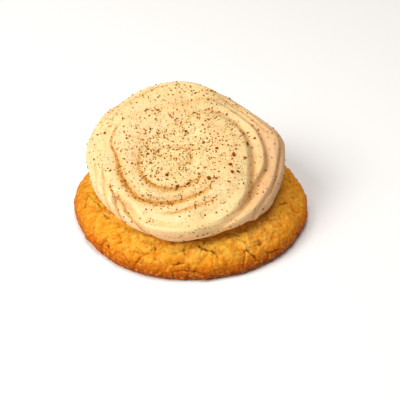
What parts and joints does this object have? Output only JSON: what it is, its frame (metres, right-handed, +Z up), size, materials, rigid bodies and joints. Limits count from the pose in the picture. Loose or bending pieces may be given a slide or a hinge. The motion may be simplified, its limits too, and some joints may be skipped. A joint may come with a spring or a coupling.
{
  "type": "tiramisu cookie",
  "caption": "Round golden sugar cookie with a cracked crust under a thick, leaning swirl of coffee icing dusted with cocoa.",
  "frame": {"origin": "middle of the cookie's flat underside, where it rests", "axes": "+Z up through the cookie; -Y towards the front, the low side of the icing swirl; +X to the right"},
  "size_m": [0.1011, 0.0983, 0.044],
  "materials": {
    "crust": "baked sugar cookie crust: golden top, browner rim and foot, dry and matt",
    "icing": "smooth mascarpone and coffee icing, satin, dusted with brown cocoa"
  },
  "bodies": {
    "root": {"cookie": "crust", "frosting": "icing"}
  },
  "joints": []
}
